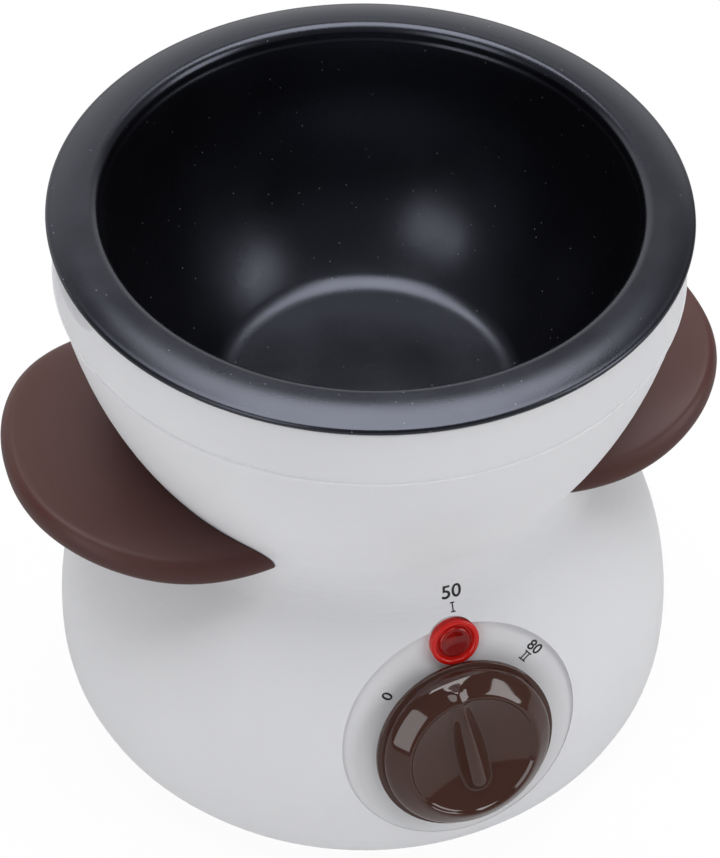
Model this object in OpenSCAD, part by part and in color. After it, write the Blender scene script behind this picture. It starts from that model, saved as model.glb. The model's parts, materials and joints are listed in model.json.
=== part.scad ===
// Electric fondue pot: a lift-out coated bowl over a heating plate, in a waisted plastic housing.
// Millimetres. The table is z = 0, the pot's axis is Z, the dial faces -Y and the handles lie along X.

/* [Bowl] */
// Height of the rim's outer edge above the table
rim_z = 134; // [131:1:140]
// Inner radius of the bowl
bowl_r = 52; // [49:0.5:55]
// Width of the rim from the bowl's wall to its outer edge
rim_w = 10.5; // [10:0.1:12]
// Distance of the flat floor's edge inside the bowl's wall
floor_in = 23.5; // [22:0.5:26]
// Depth of the bowl below the rim
bowl_depth = 53.5; // [50:0.5:56]
// Radius of the fillet round the bowl's floor
floor_fillet = 8; // [5:0.5:10]
// Thickness of the bowl's wall
bowl_wall = 1.2; // [0.8:0.1:1.6]
// Rise of the domed rim above its outer edge
rim_rise = 1.0; // [0.5:0.1:1.6]

/* [Housing] */
// How far the belly stands out from the waist
belly_out = 22.4; // [20:0.2:25]
// Radius of the rounded corner at the base
base_corner_r = 12; // [9:0.5:13]
// Distance of the waist inside the bowl's wall
waist_in = 4.4; // [3:0.1:5]
// Drop from the rim's edge to the waist
waist_drop = 61; // [58:0.5:64]
// Radius of the waist's hollow in section
waist_arc_r = 14; // [12:1:18]
// Inward lean of the cup at the seam, in degrees
cup_lean = 6.3; // [5:0.1:8]
// Distance of the housing's seam inside the rim's edge
seam_in = 0.3; // [0.2:0.1:1]
// Drop from the rim's edge to the seam
seam_drop = 14.4; // [12:0.2:16]
// Thickness of the housing's wall
wall = 2.5; // [2:0.1:3]

/* [Dial] */
// Radius of the flat round dial seat
seat_r = 25.6; // [24.6:0.2:26.4]
// Height of the seat's middle above the table
dial_z = 38; // [36:0.5:40]
// Upward tilt of the dial's axis, in degrees
dial_tilt = 22; // [18:1:26]
// Distance of the knob's axis below the seat's middle
knob_drop = 1.9; // [1:0.1:2.5]
// Distance of the knob's skirt inside the seat's edge
knob_in = 6.3; // [6:0.1:8]
// Height of the knob's ring above the seat
knob_h = 9.6; // [9:0.1:12]
// Distance of the ring's inner edge inside the skirt's
ring_in = 4.7; // [4:0.1:6]
// Radius of the lens flange
lens_r = 5.35; // [5:0.05:6]
// Distance of the lens's middle inside the seat's edge
lens_in = 3.6; // [3:0.1:4]

/* [Handles] */
// How far a handle stands out from the housing's wall
handle_out = 27.9; // [25:0.2:31]
// Radius of a handle's outline seen from above
handle_r = 41; // [38:0.5:43]
// Thickness of a handle
handle_t = 8.5; // [7:0.5:10]
// Drop from the rim's edge to a handle's middle
handle_drop = 54; // [52:0.5:56]

/* [Heater] */
// Gap between the waist's wall and the heating plate
plate_gap = 8.1; // [7:0.1:10]
// Width of the heating plate's lower rim round its raised face
plate_rim_w = 9; // [7:0.5:10]
// Thickness of the heating plate below the well
plate_t = 5; // [4:0.5:6]
// Distance of the mica element's edge inside the plate's
element_in = 3; // [2:0.5:4]
// Distance of the heat shield's edge inside the plate's
shield_in = 6; // [5:0.5:10]

/* [Base] */
// Height of the feet below the housing
foot_h = 2; // [1.5:0.5:4]
// Radius of a foot
foot_r = 7; // [5.5:0.5:8]
// Distance of the feet and base screws inside the base's edge
base_in = 12; // [11.5:0.5:14]
// Thickness of the base cover
cover_t = 2.2; // [2:0.1:3]
// Radius of the bore in the cord gland
gland_bore_r = 3.3; // [2.8:0.1:3.8]

/* [Hidden] */
$fn = 96;

// Clearance of pieces that sit together, of pieces that only rest near, and of a turning shaft
snug = 0.1;
near = 0.15;
running = 0.04;
// Overrun of every cut past the face it opens
over = 1;
// Small edge chamfer
edge = 0.3;

// Levels
base_z = foot_h;
belly_z = base_z + base_corner_r;
waist_z = rim_z - waist_drop;
handle_z = rim_z - handle_drop;
seam_z = rim_z - seam_drop;
rim_r = bowl_r + rim_w;
floor_r = bowl_r - floor_in;
waist_r = bowl_r - waist_in;
belly_r = waist_r + belly_out;
seam_r = rim_r - seam_in;
bead_r = 0.75;
bead_z = rim_z - bead_r;
collar_top_z = bead_z - bead_r - near;

// Arc of a section: points on a circle about c from angle a0 to a1 in n steps
function arc(c, r, a0, a1, n) =
    [for (i = [0:n]) c + r * [cos(a0 + (a1 - a0) * i / n), sin(a0 + (a1 - a0) * i / n)]];
function tail(points) = [for (i = [1:len(points) - 1]) points[i]];
function backwards(points) = [for (i = [1:len(points)]) points[len(points) - i]];

// Housing section: base corner, belly, waist and cup, each arc tangent to the next
base_r = belly_r - base_corner_r;
base_pcr = base_r - base_in;
base_c = [base_r, belly_z];
waist_c = [waist_r + waist_arc_r, waist_z];
from_belly = waist_c - [belly_r, belly_z];
belly_arc_r = (from_belly * from_belly - pow(waist_arc_r, 2)) / (2 * (belly_r - waist_r));
belly_c = [belly_r - belly_arc_r, belly_z];
seam_point = [seam_r, seam_z];
to_seam = seam_point - waist_c;
seam_normal = [cos(cup_lean), -sin(cup_lean)];
cup_arc_r = (to_seam * to_seam - pow(waist_arc_r, 2)) / (2 * (waist_arc_r + to_seam * seam_normal));
cup_c = seam_point - cup_arc_r * seam_normal;
belly_a = atan2(waist_c[1] - belly_c[1], waist_c[0] - belly_c[0]);
cup_a = atan2(waist_c[1] - cup_c[1], waist_c[0] - cup_c[0]);
corner_steps = 8;
belly_steps = 16;
waist_steps = 12;
cup_steps = 12;

function housing_edge(inset) = concat(
    arc(base_c, base_corner_r - inset, -90, 0, corner_steps),
    tail(arc(belly_c, belly_arc_r - inset, 0, belly_a, belly_steps)),
    tail(arc(waist_c, waist_arc_r + inset, 180 + belly_a, 180 + cup_a, waist_steps)),
    tail(arc(cup_c, cup_arc_r - inset, cup_a, -cup_lean, cup_steps))
);

// Radius of the housing at a height between the belly's widest point and the seam
function housing_r(z, inset = 0) =
    z < belly_c[1] + (belly_arc_r - inset) * sin(belly_a)
        ? belly_c[0] + sqrt(pow(belly_arc_r - inset, 2) - pow(z - belly_c[1], 2))
        : z < cup_c[1] + (cup_arc_r - inset) * sin(cup_a)
            ? waist_c[0] - sqrt(pow(waist_arc_r + inset, 2) - pow(z - waist_c[1], 2))
            : cup_c[0] + sqrt(pow(cup_arc_r - inset, 2) - pow(z - cup_c[1], 2));

module housing_solid(inset, top = 0) {
    points = housing_edge(inset);
    last = points[len(points) - 1];
    rotate_extrude()
        polygon(concat([[0, points[0][1]]], points, [[last[0], last[1] + top], [0, last[1] + top]]));
}

// Dial frame: origin on the seat's middle, +Z out of the seat, +Y up the seat
seat_flush = 0.1;
seat_low_z = dial_z - seat_r * cos(dial_tilt);
dial_y = -(housing_r(max(seat_low_z, belly_z)) - seat_flush - seat_r * sin(dial_tilt));
module at_dial() {
    translate([0, dial_y, dial_z]) rotate([90 - dial_tilt, 0, 0]) children();
}
lens_offset = seat_r - lens_in;
knob_r = seat_r - knob_in;
module at_knob() {
    at_dial() translate([0, -knob_drop, 0]) children();
}

// Bowl section
arc_drop = 12;
lip_r = 2;
neck_h = 3.5;
neck_step = 0.4;
bowl_steps = 14;
fillet_steps = 6;
lip_steps = 6;
rim_steps = 8;
bead_steps = 16;
bead_end_angle = -150;
floor_z = rim_z - bowl_depth;
fillet_c = [floor_r, floor_z + floor_fillet];
wall_top = [bowl_r, rim_z - arc_drop];
to_fillet = fillet_c - wall_top;
bowl_arc_r = (to_fillet * to_fillet - pow(floor_fillet, 2)) / (2 * (bowl_r - floor_r - floor_fillet));
bowl_c = wall_top - [bowl_arc_r, 0];
fillet_a = atan2(fillet_c[1] - bowl_c[1], fillet_c[0] - bowl_c[0]);
neck_z = rim_z - lip_r - neck_h;
lip_top = [bowl_r + neck_step + lip_r, rim_z + rim_rise];
rim_span = rim_r - bead_r - lip_top[0];
rim_arc_r = (pow(rim_span, 2) + pow(rim_rise, 2)) / (2 * rim_rise);
rim_c = [lip_top[0], lip_top[1] - rim_arc_r];
rim_a = 90 - asin(rim_span / rim_arc_r);

// The bowl's inner line from the middle of its floor to the rim's bead, set outwards by a wall
function bowl_edge(out) = concat(
    [[0, floor_z - out]],
    arc(fillet_c, floor_fillet + out, -90, fillet_a, fillet_steps),
    tail(arc(bowl_c, bowl_arc_r + out, fillet_a, 0, bowl_steps)),
    [[bowl_r + out, neck_z]],
    [[bowl_r + neck_step + out, neck_z + neck_step]],
    arc([lip_top[0], lip_top[1] - lip_r], lip_r - out, 180, 90, lip_steps),
    tail(arc(rim_c, rim_arc_r - out, 90, rim_a, rim_steps))
);

module inner_pot() {
    outside = backwards(bowl_edge(bowl_wall));
    color("#17181b")
        rotate_extrude()
            polygon(concat(
                bowl_edge(0),
                tail(arc([rim_r - bead_r, bead_z], bead_r, 90, bead_end_angle, bead_steps)),
                tail(outside)
            ));
}

// Collar: the ring under the rim, with a finger scoop at each handle and hooks that hold it down
collar_gap = 1.8;
collar_in_r = bowl_r + bowl_wall + collar_gap;
collar_taper = 0.5;
collar_round = 0.8;
collar_steps = 5;
scoop_r = 8;
scoop_depth = 3;
well_t = 0.8;
shell_gap = 0.2;
ledge_w = 1.5;
ledge_h = 2.2;
ledge_z = seam_z - well_t;
ledge_in_r = seam_r - wall - ledge_w;
hook_out_r = ledge_in_r - shell_gap;
hook_t = 1;
hook_in_r = hook_out_r - hook_t;
hook_angles = [45, 90, 135, 225, 270, 315];
hook_wide_angle = 10;
slot_wide_angle = 11;
hook_bite = 0.75;
hook_h = 1.8;
pocket_angles = [67.5, 112.5, 247.5, 292.5];
pocket_wide_angle = 26;
pocket_h = 8;
pocket_w = 2.4;

module sector(r0, r1, z0, z1, angle, span) {
    rotate([0, 0, angle - span / 2])
        rotate_extrude(angle = span)
            translate([r0, z0]) square([r1 - r0, z1 - z0]);
}

module collar_ring() {
    nib_z = ledge_z - ledge_h - snug;
    top_c = [seam_r - collar_taper - collar_round, collar_top_z - collar_round];
    color("#f2f2f3")
        difference() {
            union() {
                rotate_extrude()
                    polygon(concat(
                        [[collar_in_r, seam_z], [seam_r - edge, seam_z], [seam_r, seam_z + edge]],
                        arc(top_c, collar_round, 0, 90, collar_steps),
                        [[collar_in_r + edge, collar_top_z], [collar_in_r, collar_top_z - edge]]
                    ));
                for (angle = hook_angles) {
                    sector(hook_in_r, hook_out_r, nib_z - hook_h, seam_z + over, angle, hook_wide_angle);
                    sector(hook_in_r, hook_out_r + hook_bite, nib_z - hook_h, nib_z, angle, hook_wide_angle);
                }
            }
            for (side = [-1, 1])
                translate([side * (seam_r - scoop_depth + scoop_r), seam_r, collar_top_z])
                    rotate([90, 0, 0]) cylinder(r = scoop_r, h = 2 * seam_r);
            for (angle = pocket_angles)
                sector(hook_in_r, hook_in_r + pocket_w, seam_z - over, seam_z + pocket_h, angle, pocket_wide_angle);
        }
}

// Bosses, handle pads and gland seat of the housing
screw_r = 1.6;
screw_hole_r = screw_r + snug;
head_r = 3.2;
head_h = 1.7;
boss_r = 4;
boss_h = 20;
cup_r = 5.4;
cup_h = 1.8;
cover_z = base_z + shell_gap;
cover_top_z = cover_z + cover_t;
boss_z = cover_top_z + cup_h + snug;
rib_t = 2;
rib_drop = 2;
rib_z = boss_z + rib_drop;
opening_in = 1.5;
opening_r = base_r - opening_in;
screw_l = 14;
handle_screw_angle = 22;
handle_screw_l = 12;
pad_r = 4;
pad_h = 0.6;
pad_face_r = housing_r(handle_z, wall) - pad_h;
gland_rise = 6;
gland_z = belly_z + gland_rise;
gland_flat = 0.6;
gland_seat_y = housing_r(gland_z) - gland_flat;
gland_flange_r = 7;
gland_neck_r = 5;
shaft_r = 3;
shaft_hole_r = 4;
bracket_pitch = 24;
barrel_r = 4;

module ring_of_four(start) {
    for (k = [0:3]) rotate([0, 0, start + 90 * k]) children();
}
module at_handle_screws(side) {
    for (turn = [-handle_screw_angle, handle_screw_angle])
        rotate([0, 0, (side > 0 ? 0 : 180) + turn])
            translate([0, 0, handle_z]) rotate([0, 90, 0]) children();
}
module through_wall(r) {
    translate([0, 0, -wall - over]) cylinder(r = r, h = wall + 2 * over);
}

module body_shell() {
    color("#f4f4f5")
        difference() {
            union() {
                difference() {
                    housing_solid(0);
                    housing_solid(wall, over);
                }
                intersection() {
                    housing_solid(wall / 2);
                    union() {
                        at_dial() translate([0, 0, -wall]) cylinder(r = seat_r + wall, h = wall + seat_r);
                        ring_of_four(45) {
                            translate([base_pcr, 0, boss_z]) cylinder(r = boss_r, h = boss_h);
                            translate([base_pcr, -rib_t / 2, rib_z])
                                cube([belly_r - base_pcr, rib_t, boss_z + boss_h - rib_z]);
                        }
                        for (side = [-1, 1])
                            at_handle_screws(side)
                                translate([0, 0, pad_face_r]) cylinder(r = pad_r, h = pad_h + wall);
                    }
                }
                rotate_extrude()
                    translate([ledge_in_r, ledge_z - ledge_h]) square([ledge_w + wall / 2, ledge_h]);
            }
            at_dial() {
                cylinder(r = seat_r, h = seat_r);
                translate([0, lens_offset, 0]) {
                    cylinder(r = lens_r + near, h = seat_r);
                    through_wall(barrel_r + snug);
                    translate([0, 0, -wall - lamp_l]) cylinder(r = retainer_r + shell_gap, h = lamp_l);
                }
            }
            at_knob() {
                translate([-bracket_w / 2 - shell_gap, -bracket_l / 2 - shell_gap, -2 * wall])
                    cube([bracket_w + 2 * shell_gap, bracket_l + 2 * shell_gap, wall]);
                through_wall(shaft_hole_r);
                for (side = [-1, 1])
                    translate([side * bracket_pitch / 2, 0, 0]) through_wall(screw_hole_r);
            }
            translate([0, 0, base_z - over]) cylinder(r = opening_r, h = wall + 2 * over);
            ring_of_four(45)
                translate([base_pcr, 0, boss_z - over]) cylinder(r = screw_r + running, h = screw_l + over);
            for (side = [-1, 1])
                at_handle_screws(side) {
                    translate([0, 0, pad_face_r - over]) cylinder(r = screw_hole_r, h = wall + pad_h + 3 * over);
                    translate([0, 0, pad_face_r - pad_r]) cylinder(r = pad_r + over, h = pad_r);
                }
            translate([0, gland_seat_y, gland_z]) rotate([-90, 0, 0]) {
                cylinder(r = gland_flange_r + near, h = over);
                translate([0, 0, -2 * wall]) cylinder(r = gland_neck_r + snug, h = 2 * wall + over);
            }
        }
}

// Well: the thin aluminium bowl that the heating plate hangs from
face_h = 2.4;
face_in = 0.5;
plate_r = waist_r - wall - plate_gap;
plate_face_r = min(floor_r - face_in, plate_r - plate_rim_w);
plate_top_z = floor_z - bowl_wall - near;
well_floor_z = plate_top_z - face_h;
well_margin = 2;
well_gap = 2.4;
well_floor_r = plate_r + well_margin;
well_top_r = bowl_r + bowl_wall + well_gap;
well_flange_r = seam_r - wall - 2 * near;
well_bulge = 3;
well_low = [well_floor_r, well_floor_z];
well_high = [well_top_r, seam_z];
well_chord = well_high - well_low;
well_arc_r = (well_chord * well_chord / 4 + pow(well_bulge, 2)) / (2 * well_bulge);
well_out = [well_chord[1], -well_chord[0]] / norm(well_chord);
well_c = (well_low + well_high) / 2 - (well_arc_r - well_bulge) * well_out;
well_a0 = atan2(well_low[1] - well_c[1], well_low[0] - well_c[0]);
well_a1 = atan2(well_high[1] - well_c[1], well_high[0] - well_c[0]);
well_steps = 14;
plate_screw_angles = [60, 180, 300];
plate_screw_pcr = (plate_face_r + plate_r) / 2;
small_screw_r = 1.25;
small_head_r = 2.4;
small_head_h = 1.1;

function well_edge(out) = arc(well_c, well_arc_r + out, well_a0, well_a1, well_steps);
module at_plate_screws() {
    for (angle = plate_screw_angles) rotate([0, 0, angle]) translate([plate_screw_pcr, 0, 0]) children();
}

module heat_well() {
    outside = backwards(well_edge(well_t));
    under_z = well_floor_z - well_t;
    hole_r = plate_face_r + snug;
    color("#c9cacc")
        difference() {
            rotate_extrude()
                polygon(concat(
                    [[hole_r, under_z], [hole_r, well_floor_z]],
                    well_edge(0),
                    [[well_flange_r, seam_z], [well_flange_r, ledge_z], [well_top_r + well_t, ledge_z]],
                    tail(outside),
                    [[well_floor_r, under_z]]
                ));
            at_plate_screws()
                translate([0, 0, under_z - over]) cylinder(r = small_screw_r + snug, h = well_t + 2 * over);
            for (angle = hook_angles)
                sector(hook_in_r - snug, hook_out_r + near, ledge_z - over, seam_z + over, angle, slot_wide_angle);
        }
}

// Heater stack below the well, from the plate down
plate_z = well_floor_z - well_t - plate_t;
element_r = plate_r - element_in;
element_t = 1.6;
clamp_t = 1.2;
clamp_z = plate_z - element_t - clamp_t;
stud_r = 2;
stud_end = 1.2;
nut_af = 7;
nut_t = 3.2;
spacer_r = 3.4;
spacer_l = 14;
shield_r = plate_r - shield_in;
shield_t = 0.8;
shield_rim_h = 3;
shield_z = clamp_z - nut_t - spacer_l - shield_t;
stud_z = shield_z - nut_t - stud_end;
thermostat_r = 8;
thermostat_x = 19;
thermostat_can_h = 6;
ear_pitch = 24;
ear_t = 0.8;
fuse_x = -15;
fuse_r = 2.3;
fuse_l = 24;
fuse_screw_gap = 3.2;
fuse_screw_x = fuse_x - fuse_r - fuse_screw_gap;
fuse_z = clamp_z - fuse_r - snug;
clip_t = 0.6;
clip_w = 7;
tab_w = 4.8;
tab_t = 0.8;
tab_l = 5;

module at_small_screws() {
    for (side = [-1, 1]) translate([thermostat_x, side * ear_pitch / 2, 0]) children();
    translate([fuse_screw_x, 0, 0]) children();
}

module heating_plate() {
    color("#b9babc")
        difference() {
            union() {
                translate([0, 0, plate_z]) cylinder(r = plate_r, h = plate_t);
                translate([0, 0, plate_z]) cylinder(r = plate_face_r, h = plate_top_z - plate_z);
                translate([0, 0, stud_z]) cylinder(r = stud_r, h = plate_z - stud_z + over);
            }
            at_plate_screws()
                translate([0, 0, plate_z - over]) cylinder(r = small_screw_r + running, h = plate_t + 2 * over);
            at_small_screws()
                translate([0, 0, plate_z - over]) cylinder(r = small_screw_r + running, h = plate_t);
        }
}

// Screw with its head below z = 0 and its shank upwards, with a cross recess
module pan_screw(shank_r, shank_l, top_r, top_h) {
    taper_share = 0.8;
    slot_w = top_r / 4;
    difference() {
        union() {
            cylinder(r = shank_r, h = shank_l);
            translate([0, 0, -top_h]) cylinder(r1 = top_r * taper_share, r2 = top_r, h = top_h);
        }
        for (turn = [0, 90])
            rotate([0, 0, turn])
                translate([-top_r / 2, -slot_w / 2, -top_h - over]) cube([top_r, slot_w, top_h / 2 + over]);
    }
}

module plate_screws() {
    color("#8f9296")
        at_plate_screws()
            translate([0, 0, well_floor_z])
                rotate([180, 0, 0]) pan_screw(small_screw_r, plate_t, small_head_r, small_head_h);
}

module heater_disc(r, low, t) {
    difference() {
        translate([0, 0, low]) cylinder(r = r, h = t);
        translate([0, 0, low - over]) cylinder(r = stud_r + snug, h = t + 2 * over);
        translate([thermostat_x, 0, low - over]) cylinder(r = thermostat_r + near, h = t + 2 * over);
        at_small_screws() translate([0, 0, low - over]) cylinder(r = small_screw_r + snug, h = t + 2 * over);
    }
}
module mica_element() {
    color("#c8b48a") heater_disc(element_r, clamp_z + clamp_t, element_t);
}
module clamp_plate() {
    color("#9a9da1") heater_disc(element_r + clamp_t / 2, clamp_z, clamp_t);
}

module hex_nut(low) {
    color("#a9acb0")
        difference() {
            translate([0, 0, low]) cylinder(r = nut_af / sqrt(3), h = nut_t, $fn = 6);
            translate([0, 0, low - over]) cylinder(r = stud_r + running, h = nut_t + 2 * over);
        }
}
module clamp_nut() { hex_nut(clamp_z - nut_t); }
module shield_nut() { hex_nut(shield_z - nut_t); }
module shield_spacer() {
    color("#a9acb0")
        difference() {
            translate([0, 0, shield_z + shield_t]) cylinder(r = spacer_r, h = spacer_l);
            translate([0, 0, shield_z]) cylinder(r = stud_r + snug, h = spacer_l + 2 * over);
        }
}
module heat_shield() {
    color("#b4b6b9")
        difference() {
            translate([0, 0, shield_z]) cylinder(r = shield_r, h = shield_rim_h);
            translate([0, 0, shield_z + shield_t]) cylinder(r = shield_r - shield_t, h = shield_rim_h);
            translate([0, 0, shield_z - over]) cylinder(r = stud_r + snug, h = 2 * over);
        }
}

// Thermostat, its cap against the plate through the window in the element
module thermostat() {
    low = clamp_z - ear_t;
    ear_w = ear_pitch + 6 * small_screw_r;
    color("#4a3a30") {
        translate([thermostat_x, 0, low - thermostat_can_h]) cylinder(r = thermostat_r, h = thermostat_can_h);
        for (side = [-1, 1])
            translate([thermostat_x - tab_w / 2, side * thermostat_r / 2 - tab_t / 2, low - thermostat_can_h - tab_l])
                cube([tab_w, tab_t, tab_l + over]);
    }
    color("#b9bcc0") {
        translate([thermostat_x, 0, low]) cylinder(r = thermostat_r, h = plate_z - low);
        difference() {
            translate([thermostat_x - thermostat_r / 2, -ear_w / 2, low]) cube([thermostat_r, ear_w, ear_t]);
            at_small_screws() translate([0, 0, low - over]) cylinder(r = small_screw_r + snug, h = ear_t + 2 * over);
        }
    }
}
module thermostat_screws() {
    low = clamp_z - ear_t;
    color("#8f9296")
        for (side = [-1, 1])
            translate([thermostat_x, side * ear_pitch / 2, low])
                pan_screw(small_screw_r, plate_z - low + plate_t / 2, small_head_r, small_head_h);
}

// Thermal fuse in its sleeve, held under the clamp plate by a saddle clip
module thermal_fuse() {
    color("#e8e4d8")
        translate([fuse_x, fuse_l / 2, fuse_z]) rotate([90, 0, 0]) cylinder(r = fuse_r, h = fuse_l);
}
module fuse_clip() {
    clip_x = fuse_screw_x - small_head_r;
    color("#a9acb0")
        difference() {
            union() {
                translate([fuse_x, clip_w / 2, fuse_z])
                    rotate([90, 0, 0]) cylinder(r = fuse_r + snug + clip_t, h = clip_w);
                translate([clip_x, -clip_w / 2, clamp_z - clip_t]) cube([fuse_x - clip_x, clip_w, clip_t]);
            }
            translate([fuse_x, clip_w, fuse_z]) rotate([90, 0, 0]) cylinder(r = fuse_r + snug, h = 2 * clip_w);
            translate([clip_x - over, -clip_w, clamp_z]) cube([4 * clip_w, 2 * clip_w, clip_w]);
            translate([fuse_x - fuse_r, -clip_w, fuse_z + snug]) cube([2 * fuse_r, 2 * clip_w, clip_w]);
            at_small_screws()
                translate([0, 0, clamp_z - clip_t - over]) cylinder(r = small_screw_r + snug, h = clip_t + 2 * over);
        }
}
module fuse_screw() {
    low = clamp_z - clip_t;
    color("#8f9296")
        translate([fuse_screw_x, 0, low])
            pan_screw(small_screw_r, plate_z - low + plate_t / 2, small_head_r, small_head_h);
}

// Handles: a round crescent, dished on top, cut to the waist of the housing
handle_reach = housing_r(handle_z) + handle_out;
nose_rise = 0.8;
ridge_in = 5;
dish_in = 13;
dish_depth = 1.6;
under_in = 6;
function handle_edge() = let (top = handle_t / 2, low = -handle_t / 2) concat(
    [[0, low], [handle_r - under_in, low]],
    [for (a = [-75:15:0])
        [handle_r - under_in + under_in * cos(a), nose_rise + (nose_rise - low) * sin(a)]],
    [for (a = [15:15:90])
        [handle_r - ridge_in + ridge_in * cos(a), nose_rise + (top - nose_rise) * sin(a)]],
    [for (share = [0.125:0.125:1])
        [handle_r - ridge_in - (dish_in - ridge_in) * share, top - dish_depth * (1 - cos(180 * share)) / 2]],
    [[0, top - dish_depth]]
);
module handle(side) {
    color("#553f3c")
        difference() {
            translate([side * (handle_reach - handle_r), 0, handle_z]) rotate_extrude() polygon(handle_edge());
            housing_solid(-near);
            at_handle_screws(side) cylinder(r = screw_r + running, h = pad_face_r + handle_screw_l);
        }
}
module handle_left() { handle(-1); }
module handle_right() { handle(1); }
module handle_screws() {
    color("#8f9296")
        for (side = [-1, 1])
            at_handle_screws(side)
                translate([0, 0, pad_face_r]) pan_screw(screw_r, handle_screw_l - over, head_r, head_h);
}

// Knob: skirt, rounded wall, ring, sunken face and one grip blade
ring_in_r = knob_r - ring_in;
knob_low = 2.8;
skirt_h = 1.2;
lip = 0.5;
ring_w = 2.4;
face_drop = 2.6;
knob_wall = 1.7;
hub_r = 5.2;
hub_low = 0.8;
shaft_flat = 1.7;
shoulder_out_share = 0.8;
shoulder_rise_share = 0.85;
ring_drop = 1;
knob_face_z = knob_h - face_drop;
hollow_z = knob_face_z - knob_wall;
shaft_top = hollow_z - near;

function knob_edge() = let (
    wall_r = knob_r - lip,
    skirt_z = knob_low + skirt_h,
    crest_r = ring_in_r + ring_w / 2
) concat(
    [[knob_r - knob_wall, knob_low], [knob_r - edge, knob_low], [knob_r, knob_low + edge]],
    [[knob_r, skirt_z - edge], [knob_r - edge, skirt_z], [wall_r, skirt_z]],
    [for (a = [0:10:90]) [
        wall_r - (wall_r - crest_r) * (1 - cos(a)) * shoulder_out_share,
        knob_h - (knob_h - skirt_z) * (1 - sin(a)) * shoulder_rise_share
    ]],
    [[crest_r, knob_h]],
    [for (a = [90:30:180]) [ring_in_r + edge + edge * cos(a), knob_h - edge + edge * sin(a)]],
    [for (a = [0:15:90])
        [ring_in_r - ring_drop * sin(a), knob_face_z + (face_drop - edge) * (1 - sin(a))]],
    [[0, knob_face_z]]
);
module knob_hollow() {
    low = knob_low - 3 * over;
    out = knob_r - lip - knob_wall;
    rotate_extrude()
        polygon([
            [hub_r, low], [knob_r + over, low], [knob_r + over, knob_low], [knob_r - knob_wall, knob_low],
            [out, knob_low + skirt_h], [out - knob_wall, hollow_z], [hub_r, hollow_z]
        ]);
}

// Grip blade: narrow where it meets the ring, rounded at its free end, with sloping flanks
blade_rise = 0.7;
blade_tip_r = [2, 1];
blade_tail_r = [3.2, 1.8];
blade_tail_y = -6.8;
blade_crown_r = 60;
blade_fn = 32;
module blade() {
    foot_z = knob_face_z - over;
    top_h = knob_h + blade_rise - foot_z;
    intersection() {
        hull() {
            translate([0, blade_tail_y, foot_z])
                cylinder(r1 = blade_tail_r[0], r2 = blade_tail_r[1], h = top_h, $fn = blade_fn);
            translate([0, ring_in_r, foot_z])
                cylinder(r1 = blade_tip_r[0], r2 = blade_tip_r[1], h = top_h, $fn = blade_fn);
        }
        translate([-knob_r, ring_in_r / 4, knob_h + blade_rise - blade_crown_r])
            rotate([0, 90, 0]) cylinder(r = blade_crown_r, h = 2 * knob_r);
    }
}
module shaft_shape(r, low, high, flat) {
    difference() {
        translate([0, 0, low]) cylinder(r = r, h = high - low);
        translate([-2 * r, flat, hub_low]) cube([4 * r, 2 * r, high]);
    }
}
module control_knob() {
    color("#2f1a17")
        at_knob()
            difference() {
                union() {
                    rotate_extrude() polygon(concat([[0, hub_low], [knob_r - knob_wall, hub_low]], knob_edge()));
                    blade();
                }
                knob_hollow();
                shaft_shape(shaft_r + running, hub_low - over, hollow_z, shaft_flat + running);
            }
}

// Rotary switch behind the seat: steel bracket, moulded body and the shaft that the knob turns
bracket_t = 1.2;
bracket_w = 31;
bracket_l = 18;
switch_w = 17;
switch_l = 20;
switch_d = 15;
shaft_in_switch = 9;
switch_z = -wall - bracket_t;
module switch_shaft() {
    color("#d8d5cc")
        at_knob() shaft_shape(shaft_r, switch_z - shaft_in_switch, shaft_top, shaft_flat);
}
module switch_bracket() {
    color("#a9acb0")
        at_knob() translate([0, 0, switch_z])
            difference() {
                translate([-bracket_w / 2, -bracket_l / 2, 0]) cube([bracket_w, bracket_l, bracket_t]);
                translate([0, 0, -over]) cylinder(r = shaft_hole_r, h = bracket_t + 2 * over);
                for (side = [-1, 1])
                    translate([side * bracket_pitch / 2, 0, -over])
                        cylinder(r = screw_r + running, h = bracket_t + 2 * over);
            }
}
module rotary_switch() {
    color("#2a2a2c")
        at_knob() translate([0, 0, switch_z])
            difference() {
                union() {
                    translate([-switch_w / 2, -switch_l / 2, -switch_d]) cube([switch_w, switch_l, switch_d]);
                    for (x = [-1, 0, 1])
                        translate([x * switch_w / 3 - tab_w / 2, -tab_t / 2, -switch_d - tab_l])
                            cube([tab_w, tab_t, tab_l + over]);
                }
                translate([0, 0, -shaft_in_switch - near])
                    cylinder(r = shaft_r + running, h = shaft_in_switch + near + over);
            }
}
module switch_screws() {
    color("#8f9296")
        at_knob()
            for (side = [-1, 1])
                translate([side * bracket_pitch / 2, 0, 0])
                    rotate([180, 0, 0]) pan_screw(screw_r, wall + bracket_t + over, head_r, head_h);
}

// Indicator: flanged lens, push-on retainer behind the wall and the lamp inside
barrel_l = 8;
barrel_bore_r = 3.3;
lens_t = 2.2;
lens_rim = 1;
lens_groove = 0.8;
dome_in = 2;
dome_share = 1.3;
retainer_r = 6.5;
retainer_t = 0.6;
lamp_r = 3;
lamp_l = 11;
module indicator_lens() {
    dome_r = lens_r - dome_in;
    groove_z = lens_t - lens_groove;
    color("#b3201c")
        at_dial() translate([0, lens_offset, 0])
            rotate_extrude()
                polygon(concat(
                    [[barrel_bore_r, -wall - barrel_l], [barrel_r, -wall - barrel_l], [barrel_r, 0]],
                    [[lens_r, 0], [lens_r, lens_t - edge], [lens_r - edge, lens_t]],
                    [[lens_r - lens_rim, lens_t], [dome_r + edge, groove_z]],
                    [for (a = [0:15:90]) [dome_r * cos(a), groove_z + lens_groove * dome_share * sin(a)]],
                    [[0, 0], [barrel_bore_r, 0]]
                ));
}
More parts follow.
